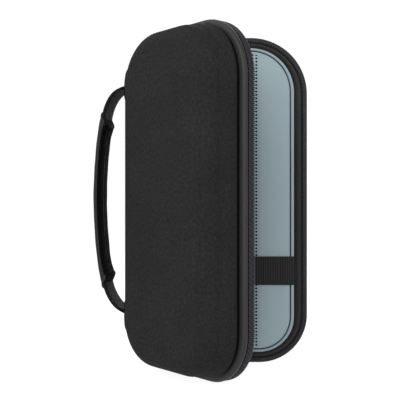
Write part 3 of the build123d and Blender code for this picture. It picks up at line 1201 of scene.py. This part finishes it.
# ---- lid interior ---------------------------------------------------------------------------
@dataclass
class LidInterior:
    """Padded perforated lining, its backing, and the elastic strap across it."""

    outline: Outline
    end_ease: float = 3.3 * MM
    hole_radius: float = 0.95 * MM
    columns: int = 14
    rows: int = 88
    column_pitch: float = 3.26 * MM
    row_pitch: float = 2.925 * MM
    strap_centre: float = -62.0 * MM
    strap_width: float = 25.0 * MM
    strap_wall: float = 1.3 * MM
    strap_end: float = 8.6 * MM
    strap_depth: float = 3.75 * MM
    strap_dip: float = 1.0 * MM
    strap_steps: int = 60
    panel_edge: float = 15.9 * MM
    panel_top: float = 4.4 * MM
    swell: float = 1.25 * MM
    swell_reach: float = 7.0 * MM
    press: float = 0.55 * MM
    press_reach: float = 8.0 * MM
    wave: float = 0.1 * MM
    hole_sides: int = 12
    hole_depth: float = 0.55 * MM
    hole_weld: float = 0.02 * MM
    tuck: float = 0.25 * MM
    backing_gap: float = 0.5 * MM
    backing_wall: float = 0.3 * MM
    stitch_inset: float = 9.9 * MM
    stitch_depth: float = 3.6 * MM
    stitch_pitch: float = 3.1 * MM
    stitch: tuple[float, float, float] = (2.3 * MM, 0.24 * MM, 0.5)
    field_shares: tuple[float, ...] = (0.08, 0.18, 0.3, 0.45, 0.6, 0.75, 0.88, 1.0, 1.02)
    cord: tuple[Place, ...] = (
        (14.02, 6.6), (14.02, 5.75), (14.2, 5.5), (14.75, 5.5), (14.93, 5.75), (14.93, 6.6))
    welt: tuple[Place, ...] = (
        (10.4, 5.9), (10.9, 5.0), (11.5, 4.45), (12.3, 4.15), (13.1, 4.2), (13.7, 4.5), (14.0, 5.1),
        (14.05, 6.7), (14.9, 6.7), (14.95, 5.2), (15.3, 4.65), (15.9, 4.4))

    def inset_at(self, x: float, z: float) -> float:
        """How far a point lies inside the zip edge, less the ease at the short ends.

        Args:
            x: across the case.
            z: up the case.

        Returns:
            The inset.
        """
        half_height = self.outline.half_height
        flat_z = z / (1 + self.end_ease / (half_height - self.panel_edge))
        side = "spine" if x < 0 else "free"
        end = "bottom" if z < 0 else "top"
        radius = self.outline.radii[f"{side}_{end}"]
        from_x = self.outline.half_width - abs(x)
        from_z = half_height - abs(flat_z)
        if from_x < radius and from_z < radius:
            return radius - math.hypot(radius - from_x, radius - from_z)
        return min(from_x, from_z)

    def panel_depth(self, x: float, z: float) -> float:
        """Depth of the padded panel's face below the parting plane.

        Args:
            x: across the case.
            z: up the case.

        Returns:
            The depth.
        """
        inside = max(self.inset_at(x, z) - self.panel_edge, 0.0)
        from_strap = abs(z - self.strap_centre)
        swell = self.swell * (1 - math.exp(-inside / self.swell_reach))
        press = self.press * (1 - smoothstep(0.42 * self.strap_width, 0.85 * self.strap_width, from_strap))
        wave = self.wave * math.sin(z * 61.0) * math.cos(x * 47.0)
        return self.panel_top - swell + press * smoothstep(0, self.press_reach, inside) + wave

    def rings(self, section: tuple[Place, ...]) -> list[list[Vector]]:
        """Rings of a section given in millimetres."""
        return [self.outline.ring(inset * MM, depth * MM, self.end_ease) for inset, depth in section]

    def lining(self) -> bpy.types.Object:
        """Welt, pressed groove and padded field, up to the perforated band."""
        rings = self.rings(self.welt)
        edge = self.outline.plan(self.panel_edge, self.end_ease)
        wide = max(x for x, _ in edge)
        tall = max(z for _, z in edge)
        band_x = self.columns * self.column_pitch / 2
        band_z = self.rows * self.row_pitch / 2
        for share in self.field_shares:
            ring = []
            for x, z in edge:
                reach = max(abs(x) / wide, abs(z) / tall)
                flat_x = x + (x / reach / wide * band_x - x) * share
                flat_z = z + (z / reach / tall * band_z - z) * share
                depth = self.panel_depth(flat_x, flat_z) + (self.tuck if share > 1 else 0.0)
                ring.append(Vector((flat_x, self.outline.parting - depth, flat_z)))
            rings.append(ring)
        made = loft("lid_padded_lining", rings)
        self.turn_to_parting(made)
        plan_uv(made)
        smooth(made, 70)
        return made

    def groove_seam(self) -> bpy.types.Object:
        """Dark sewn cord that lies in the groove between the welt and the padded field."""
        made = loft("lid_groove_seam", self.rings(self.cord), closed=True)
        smooth(made, 50)
        return made

    def turn_to_parting(self, piece: bpy.types.Object) -> None:
        """Turn an open sheet's faces to the parting plane."""
        normal = sum((polygon.normal * polygon.area for polygon in piece.data.polygons), Vector())
        if normal.y < 0:
            piece.data.flip_normals()

    def band(self) -> bpy.types.Object:
        """Perforated band: one cell with its hole, arrayed in columns and rows, laid on the padding."""
        clear_selection()
        bpy.ops.mesh.primitive_circle_add(
            vertices=self.hole_sides, radius=self.hole_radius, fill_type="NOTHING",
            rotation=(math.pi / 2, math.pi / self.hole_sides, 0))
        cell = name_piece("lid_perforated_band")
        settle(cell)
        half_x, half_z = self.column_pitch / 2, self.row_pitch / 2
        with editing(cell):
            bpy.ops.mesh.extrude_region_move()
            edit = bmesh.from_edit_mesh(cell.data)
            for vertex in edit.verts:
                if not vertex.select:
                    continue
                place = vertex.co
                if abs(abs(place.x) - abs(place.z)) < self.hole_radius * 0.3:
                    place.x, place.z = math.copysign(half_x, place.x), math.copysign(half_z, place.z)
                else:
                    reach = max(abs(place.x) / half_x, abs(place.z) / half_z)
                    place.x, place.z = place.x / reach, place.z / reach
            for vertex in edit.verts:
                vertex.select = math.hypot(vertex.co.x, vertex.co.z) < self.hole_radius * 1.02
            edit.select_flush_mode()
            bmesh.update_edit_mesh(cell.data)
            bpy.ops.mesh.extrude_region_move(TRANSFORM_OT_translate={"value": (0, -self.hole_depth, 0)})
        for count, step in ((self.columns, (self.column_pitch, 0, 0)), (self.rows, (0, 0, self.row_pitch))):
            apply_modifier(cell, "ARRAY", count=count, use_relative_offset=False, use_constant_offset=True,
                           constant_offset_displace=step, use_merge_vertices=True,
                           merge_threshold=self.hole_weld)
        start_x = -(self.columns - 1) * self.column_pitch / 2
        start_z = -(self.rows - 1) * self.row_pitch / 2
        for vertex in cell.data.vertices:
            vertex.co.x += start_x
            vertex.co.z += start_z
            vertex.co.y += self.outline.parting - self.panel_depth(vertex.co.x, vertex.co.z)
        with editing(cell):
            bpy.ops.mesh.normals_make_consistent(inside=False)
        self.turn_to_parting(cell)
        plan_uv(cell)
        smooth(cell, 50)
        return cell

    def backing(self) -> bpy.types.Object:
        """Black sheet close behind the holes."""
        clear_selection()
        bpy.ops.mesh.primitive_grid_add(x_subdivisions=12, y_subdivisions=60, size=1.0,
                                        rotation=(math.pi / 2, 0, 0))
        sheet = name_piece("lid_vent_sheet")
        sheet.scale = (self.columns * self.column_pitch, self.rows * self.row_pitch, 1)
        settle(sheet)
        for vertex in sheet.data.vertices:
            depth = self.panel_depth(vertex.co.x, vertex.co.z) + self.backing_gap
            vertex.co.y = self.outline.parting - depth
        thicken(sheet, self.backing_wall)
        return sheet

    def strap(self) -> bpy.types.Object:
        """Flat ribbed elastic across the lining, dipping under the binding at both ends."""
        reach = self.outline.half_width - self.strap_end
        half = self.strap_width / 2
        section = [(-half + 0.35 * MM, 0.0), (-half, 0.45), (-half + 0.35 * MM, 1.0)]
        section += [(-half + 1.2 * MM, 0.92), (0.0, 1.0), (half - 1.2 * MM, 0.92)]
        section += [(half - 0.35 * MM, 1.0), (half, 0.45), (half - 0.35 * MM, 0.0)]
        rings = []
        for step in range(self.strap_steps + 1):
            x = -reach + 2 * reach * step / self.strap_steps
            under = self.strap_depth + self.strap_dip * smoothstep(reach - 10 * MM, reach - 1 * MM, abs(x))
            rings.append([Vector((x, self.outline.parting - (under - up * self.strap_wall),
                                  self.strap_centre + across)) for across, up in section])
        made = loft("lid_elastic_strap", rings)
        close_ends(made)
        plan_uv(made)
        smooth(made)
        return made

    def stitches(self) -> bpy.types.Object:
        """Stitch row that holds the inner binding down on the lining."""
        plan = self.outline.plan(self.stitch_inset, self.end_ease * 0.8)
        depth = self.outline.parting - self.stitch_depth
        places = [frame_matrix(Vector((x, depth, z)), Vector((run_x, 0, run_z)), Vector((0, 1, 0)))
                  for (x, z), (run_x, run_z) in walk(plan, self.stitch_pitch)]
        return copies("lid_binding_stitches", stitch_shape(*self.stitch), places)

    def build(self) -> None:
        """Model, place and dress the lid's inside."""
        lining = self.outline.to_half(self.lining(), Half.LID)
        LINING.dress(lining)
        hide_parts("lid_lining_panel", "lid_lining_welt")
        seam = self.outline.to_half(self.groove_seam(), Half.LID)
        SEAM.dress(seam)
        band = self.outline.to_half(self.band(), Half.LID)
        LINING.dress(band)
        backing = self.outline.to_half(self.backing(), Half.LID)
        VENT_BLACK_AND_GROOVE_SHADOW.dress(backing)
        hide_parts("lid_vent_backing")
        strap = self.outline.to_half(self.strap(), Half.LID)
        ELASTIC.dress(strap)
        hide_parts("elastic_strap", "elastic_strap_ends")
        stitches = self.outline.to_half(self.stitches(), Half.LID)
        THREAD.dress(stitches)
        log.info("lid interior done")


# ---- base interior --------------------------------------------------------------------------
@dataclass
class BaseInterior:
    """Lining and floor pad of the deep half."""

    outline: Outline
    depth: float
    wall: float = 5.7 * MM
    fillet: float = 7.3 * MM
    fillet_steps: int = 10
    lining_wall: float = 0.7 * MM
    start_inset: float = 10.1 * MM
    start_depths: Place = (4.9 * MM, 9.0 * MM)
    start_ease: float = 0.9 * MM
    floor_scales: tuple[float, ...] = (0.8, 0.5, 0.2, 0.05)
    pad_edge: float = 27.0 * MM
    pad_wall: float = 4.0 * MM
    pad_scales: tuple[float, ...] = (0.85, 0.6, 0.35, 0.1)
    pad_side: tuple[Place, ...] = (
        (0.4, 0.02), (0.0, 0.2), (0.0, 0.55), (0.35, 0.82), (1.1, 1.0), (2.0, 0.94), (2.5, 0.8),
        (3.0, 0.95), (4.5, 1.05), (8.0, 1.12), (12.0, 1.15))

    def lining(self) -> bpy.types.Object:
        """Moulded lining from under the inner binding down to the floor."""
        inset, floor = self.start_inset, self.depth - self.wall
        top, middle = self.start_depths
        rings = [self.outline.ring(inset, top, self.start_ease), self.outline.ring(inset, middle),
                 self.outline.ring(inset, self.outline.seam_depth)]
        rounding = self.outline.floor_rounding(inset, floor, self.fillet, self.fillet_steps)
        rings += [self.outline.ring(*point) for point in rounding]
        rings += [self.outline.ring(rounding[-1][0], floor, scale=scale) for scale in self.floor_scales]
        made = loft("base_moulded_lining", rings, cap=True)
        made.data.flip_normals()
        thicken(made, self.lining_wall)
        plan_uv(made)
        smooth(made)
        return made

    def pad(self) -> bpy.types.Object:
        """Foam floor pad under cloth, crowned and pulled in by its edge seam."""
        floor = self.depth - self.wall
        side = [(self.pad_edge + inset * MM, floor - up * self.pad_wall) for inset, up in self.pad_side]
        rings = [self.outline.ring(inset, depth) for inset, depth in side]
        rings += [self.outline.ring(*side[-1], scale=scale) for scale in self.pad_scales]
        made = loft("base_padded_floor", rings, cap=True)
        plan_uv(made)
        smooth(made)
        return made

    def build(self) -> None:
        """Model, place and dress the base's inside."""
        lining = self.outline.to_half(self.lining(), Half.BASE)
        LINING.dress(lining)
        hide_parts("base_lining")
        pad = self.outline.to_half(self.pad(), Half.BASE)
        LINING.dress(pad)
        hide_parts("base_floor_pad")
        log.info("base interior done")


# ---- handle ---------------------------------------------------------------------------------
@dataclass
class Handle:
    """Webbing arch with a padded wrap, and the sewn roots that it swings on."""

    outline: Outline
    root: Vector
    lean: float = math.radians(42.0)
    half_span: float = 96.5 * MM
    root_depth: float = 27.0 * MM
    webbing_width: float = 25.0 * MM
    webbing_wall: float = 2.1 * MM
    grip_width: float = 27.5 * MM
    grip_wall: float = 7.4 * MM
    grip_outer: float = 75.0 * MM
    grip_inner: float = 64.0 * MM
    grip_sides: int = 28
    hem: tuple[float, float, float] = (0.25 * MM, 2.4 * MM, 1.4 * MM)
    pinch: tuple[float, float, float] = (0.2 * MM, 5.4 * MM, 1.2 * MM)
    tuck: float = 0.9 * MM
    tuck_reach: float = 1.2 * MM
    seam_half: float = 3.2 * MM
    seam_stitch: tuple[float, float, float] = (2.6 * MM, 0.3 * MM, 0.45)
    lift: float = 1.6 * MM
    neck: float = 0.24
    patch_half: Place = (11.8 * MM, 13.3 * MM)
    patch_wall: float = 0.5 * MM
    patch_stitch: tuple[float, float, float] = (1.9 * MM, 0.28 * MM, 0.4)
    sewn_line: tuple[float, float, float] = (0.3 * MM, 0.2, 0.06)
    box_half: Place = (9.4 * MM, 10.6 * MM)
    box_pitch: float = 2.7 * MM
    box_proud: float = 1.05 * MM
    line: tuple[Place, ...] = (
        (0.0, 96.5), (7.4, 93.4), (14.6, 87.0), (19.8, 77.5), (23.0, 64.5), (25.5, 46.5), (27.4, 24.0),
        (28.2, 0.0))
    strap_edge: tuple[Place, ...] = (
        (-1, 0.55), (-0.965, 1), (-0.5, 0.97), (0, 1), (0.5, 0.97), (0.965, 1), (1, 0.55),
        (1, -0.55), (0.965, -1), (0.5, -0.97), (0, -1), (-0.5, -0.97), (-0.965, -1), (-1, -0.55))
    strap_unrolled: tuple[float, ...] = (
        -1, -0.965, -0.5, 0, 0.5, 0.965, 1, 1.08, 1.12, 1.58, 2.08, 2.58, 3.04, 3.08, 3.16)

    def point(self, out: float, up: float, across: float) -> Vector:
        """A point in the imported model's frame.

        Args:
            out: distance from the root axis in the arch's plane.
            up: height.
            across: across the webbing.

        Returns:
            The point.
        """
        out_dir = Vector((-math.cos(self.lean), -math.sin(self.lean), 0))
        across_dir = Vector((-math.sin(self.lean), math.cos(self.lean), 0))
        return self.root + out_dir * out + across_dir * across + Vector((0, 0, up))

    def path(self, steps: int) -> list[tuple[Vector, Vector]]:
        """Smooth middle line from the lower root to the upper one, with its direction.

        Args:
            steps: how many spans.

        Returns:
            Place and direction, as plane vectors (out, up).
        """
        half = [Vector((x * MM, y * MM)) for x, y in self.line]
        knots = [Vector((p.x, -p.y)) for p in half] + half[-2::-1]
        for knot in knots:
            knot.y += self.lift * smoothstep(0, 20 * MM, knot.x)
        knots = [2 * knots[0] - knots[1]] + knots + [2 * knots[-1] - knots[-2]]
        found = []
        for step in range(steps + 1):
            spot = step / steps * (len(knots) - 3)
            k = min(int(spot), len(knots) - 4)
            t = spot - k
            a, b, c, d = knots[k:k + 4]
            first, second, third = c - a, 2 * a - 5 * b + 4 * c - d, 3 * b - a - 3 * c + d
            place = 0.5 * (2 * b + first * t + second * t ** 2 + third * t ** 3)
            slope = 0.5 * (first + 2 * second * t + 3 * third * t ** 2)
            found.append((place, slope.normalized()))
        return found

    def webbing(self) -> bpy.types.Object:
        """Flat webbing, gathered where it turns on its roots."""
        rings = []
        spans = self.path(120)
        for place, run in spans:
            full = smoothstep(0.5 * MM, 13 * MM, place.x)
            half = (self.neck + (1 - self.neck) * full) * self.webbing_width / 2
            wall = self.webbing_wall * (1.9 - 0.9 * full) / 2
            side = Vector((run.y, -run.x))
            ring = []
            for across, up in self.strap_edge:
                flat = place + side * up * wall
                ring.append(self.point(flat.x, flat.y, across * half))
            rings.append(ring)
        lengths = distances([place for place, _ in spans])
        last = len(lengths) - 1
        made = loft("handle_webbing_strap", rings,
                    uv=lambda i, j: (lengths[min(j, last)], self.strap_unrolled[i] * self.webbing_width / 2))
        close_ends(made)
        smooth(made, 55)
        return made

    def grip_swell(self, up: float) -> Place:
        """How far the wrap stands out at a height: its end hems, and its slight folds.

        Args:
            up: height.

        Returns:
            The hems' share, and the folds' share.
        """
        near_end = self.grip_outer - abs(up)
        tuck = self.tuck * (1 - smoothstep(0, self.tuck_reach, near_end))
        fold = 0.07 * MM * math.sin(up * 310) + 0.06 * MM * math.sin(up * 151 + 1.0)
        return ripple(near_end, *self.hem) - ripple(near_end, *self.pinch) - tuck, fold

    def grip(self) -> bpy.types.Object:
        """Padded wrap: soft-cornered section, rolled hems at both ends, ends cut slanting."""
        spans = [(s, 1.0) for s in self.path(260) if abs(s[0].y) < self.grip_outer]
        first, last = spans[0][0], spans[-1][0]
        spans = [(first, 0.3), (first, 0.8)] + spans + [(last, 0.8), (last, 0.3)]
        rings = []
        for (place, run), size in spans:
            side = Vector((run.y, -run.x))
            swell, fold = self.grip_swell(place.y)
            outwards = smoothstep(0.6, 1.0, abs(place.y) / self.grip_outer)
            slant = (1 - self.grip_inner / self.grip_outer) * outwards
            ring = []
            for k in range(self.grip_sides):
                turn = 2 * math.pi * k / self.grip_sides
                across = math.copysign(abs(math.cos(turn)) ** 0.7, math.cos(turn))
                up = math.copysign(abs(math.sin(turn)) ** 0.85, math.sin(turn))
                proud = swell + fold * (0.4 + 0.6 * abs(math.sin(turn)))
                flat = place + side * up * (self.grip_wall / 2 + proud) * size
                keep = 1 - slant * (0.5 - 0.5 * up)
                ring.append(self.point(flat.x, flat.y * keep, across * (self.grip_width / 2 + proud) * size))
            rings.append(ring)
        made = loft("handle_grip_wrap", rings)
        close_ends(made)
        smooth(made)
        return made

    def grip_seam(self) -> bpy.types.Object:
        """Two rows of stitches along the wrap's inner face."""
        places = []
        for place, run in self.path(120):
            if abs(place.y) > self.grip_inner - 4 * MM:
                continue
            side = Vector((run.y, -run.x))
            flat = place - side * (self.grip_wall / 2 + 0.02 * MM)
            along, proud = (self.point(*way, 0) - self.root for way in (run, side))
            for across in (-self.seam_half, self.seam_half):
                places.append(frame_matrix(self.point(flat.x, flat.y, across), along, proud))
        return copies("handle_grip_stitches", stitch_shape(*self.seam_stitch), places)

    def wall_point(self, up: float, depth: float, proud: float) -> Vector:
        """A point on the cover's spine wall.

        Args:
            up: height.
            depth: depth below the parting plane.
            proud: how far outside the cover it lies.

        Returns:
            The point.
        """
        outline = self.outline
        inset = outline.wall_inset + outline.drafted(depth) - proud
        radius = outline.radii["spine_top" if up > 0 else "spine_bottom"]
        past = max(abs(up) - (outline.half_height - radius), 0.0)
        x = -(outline.half_width - radius) - math.sqrt((radius - inset) ** 2 - past ** 2)
        return Vector((x, outline.parting - depth, up))

    def root_patch(self, end: End) -> bpy.types.Object:
        """Sewn cloth patch over the webbing's root, its rim pressed down by the stitching.

        Args:
            end: which root.

        Returns:
            The patch.
        """
        clear_selection()
        bpy.ops.mesh.primitive_grid_add(x_subdivisions=22, y_subdivisions=24, size=2.0)
        made = name_piece(f"handle_sewn_patch_{end.name.lower()}")
        settle(made)
        centre = self.half_span * end.value
        for vertex in made.data.vertices:
            across, along = vertex.co.x, vertex.co.y
            edge = 1 - max(abs(across), abs(along))
            corner = max(math.hypot(across, along) - 1.22, 0.0)
            rounded = 1 - 0.35 * corner
            rise = 0.15 * MM + 0.75 * MM * smoothstep(0, 0.1, edge) - ripple(edge, *self.sewn_line)
            rise += 0.25 * MM * smoothstep(0.25, 0.6, edge)
            vertex.co = self.wall_point(centre + along * rounded * self.patch_half[1],
                                        self.root_depth + across * rounded * self.patch_half[0], rise)
        thicken(made, self.patch_wall)
        face_outwards(made)
        plan_uv(made, across=1)
        smooth(made)
        return made

    def patch_stitches(self, end: End) -> bpy.types.Object:
        """Box of stitches with a cross in it, on one root patch.

        Args:
            end: which root.

        Returns:
            The stitches.
        """
        centre = self.half_span * end.value
        wide, tall = self.box_half
        corners = [(-wide, -tall), (wide, -tall), (wide, tall), (-wide, tall)]
        lines = list(zip(corners, corners[1:] + corners[:1]))
        lines += [(corners[0], corners[2]), (corners[1], corners[3])]
        places = []
        for (x0, y0), (x1, y1) in lines:
            count = int(math.dist((x0, y0), (x1, y1)) / self.box_pitch)
            for k in range(count):
                share = (k + 0.5) / count
                spot, after = (self.wall_point(
                    centre + y0 + (y1 - y0) * t, self.root_depth + x0 + (x1 - x0) * t, self.box_proud)
                    for t in (share, share + 0.02))
                places.append(frame_matrix(spot, after - spot, Vector((-1, 0, 0))))
        return copies(f"handle_patch_stitches_{end.name.lower()}", stitch_shape(*self.patch_stitch), places)

    def build(self) -> None:
        """Model, place and dress the handle."""
        for end in End:
            patch = self.root_patch(end)
            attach(patch, "base")
            WEBBING.dress(patch)
            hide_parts(f"handle_root_patch_{end.name.lower()}")
            box = self.patch_stitches(end)
            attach(box, "base")
            THREAD.dress(box)
        strap = self.webbing()
        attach(strap, "handle")
        WEBBING.dress(strap)
        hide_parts("handle_webbing")
        grip = self.grip()
        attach(grip, "handle")
        GRIP.dress(grip)
        # Faces turned in towards the shell take the darker finish: painted shade on the grip's inner side.
        grip.data.materials.append(GRIP_PAINTED_SHADE.material())
        inward = self.root - self.point(1, 0, 0)
        for polygon in grip.data.polygons:
            polygon.material_index = 1 if polygon.normal.dot(inward) > 0.45 else 0
        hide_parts("handle_grip_cover", "handle_grip_core")
        seam = self.grip_seam()
        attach(seam, "handle")
        THREAD.dress(seam)
        log.info("handle done")


# ---- spine ----------------------------------------------------------------------------------
@dataclass
class Spine:
    """Cloth web that joins the two halves along the straight of the spine."""

    outline: Outline
    reach: float = 9.6 * MM
    wall: float = 0.8 * MM
    set_in: float = 0.75 * MM
    fold: float = 0.8 * MM
    bend_reach: float = 2.4 * MM
    fold_steps: int = 8
    height_points: int = 40

    def build(self) -> None:
        """Model the web open as it stands, folded round the hinge."""
        hinge = self.outline.hinge
        turn = Matrix.Rotation(self.outline.closed_turn, 3, "Z")
        spans = self.fold_steps
        steps = [-self.reach + k * (self.reach - self.fold) / spans for k in range(spans + 1)]
        line = [hinge + Vector((self.set_in, step, 0)) for step in steps]
        for k in range(1, spans):
            part = Matrix.Rotation(self.outline.closed_turn * k / spans, 3, "Z")
            line.append(hinge + part @ Vector((self.set_in, 2 * self.fold * k / spans - self.fold, 0)))
        line += [hinge + turn @ Vector((self.set_in, -step, 0)) for step in reversed(steps)]
        low = self.outline.radii["spine_bottom"] - self.outline.half_height
        height = self.outline.half_height - self.outline.radii["spine_top"] - low
        levels = [height * k / (self.height_points - 1) for k in range(self.height_points)]
        rings = [[Vector((point.x, point.y, low + level)) for level in levels] for point in line]
        lengths = distances(line)
        made = loft("spine_cloth_web", rings, open_ring=True,
                    uv=lambda i, j: (lengths[min(j, len(lengths) - 1)], levels[i]))
        thicken(made, self.wall, offset=0.0)
        face_outwards(made)
        smooth(made)
        TAPE.dress(made)
        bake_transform(made)
        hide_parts("base_spine_web", "lid_spine_web")
        log.info("spine done")


# ---- main -----------------------------------------------------------------------------------
def make_groups() -> None:
    """Build the shared shader groups once."""
    for build in (twill_group, cloudy_group, rib_group, grain_group):
        build()


def dress_frame(frame: dict) -> None:
    """Finish every CAD node that stays in view or inside.

    Args:
        frame: the loaded frame.
    """
    by_slot = {"cover_cloth": COVER, "eva_foam": FOAM, "grey_lining": LINING, "rim_binding": BINDING,
               "zip_tape": TAPE, "zip_coil": COIL, "black_mesh": VENT_BLACK_AND_GROOVE_SHADOW, "elastic": ELASTIC,
               "webbing": WEBBING, "grip_wrap": GRIP, "stiffener": STIFFENER, "slider_metal": METAL,
               "pull_rubber": RUBBER}
    for part in frame["record"]["subparts"]:
        node = frame["nodes"][part["node"]]
        finish = by_slot[part["material_slot"]]
        for slot in node.material_slots:
            slot.material = finish.material()


def main() -> None:
    """Build the case round the frame."""
    logging.basicConfig(level=logging.INFO, format="%(message)s")
    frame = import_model()
    outline = read_outline(frame["record"])
    make_groups()
    Studio(outline).build()
    dress_frame(frame)
    base_depth = outline.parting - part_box("base_fabric_cover")[0][1]
    lid_depth = 24.0 * MM
    Shell(outline, Half.BASE, base_depth, fillet=13.0 * MM).build()
    Shell(outline, Half.LID, lid_depth, fillet=7.5 * MM).build()
    LidInterior(outline).build()
    BaseInterior(outline, base_depth).build()
    Handle(outline, Vector(find_joint(frame["record"], "handle_swing")["pos_m"])).build()
    Spine(outline).build()


if __name__ == "__main__":
    main()
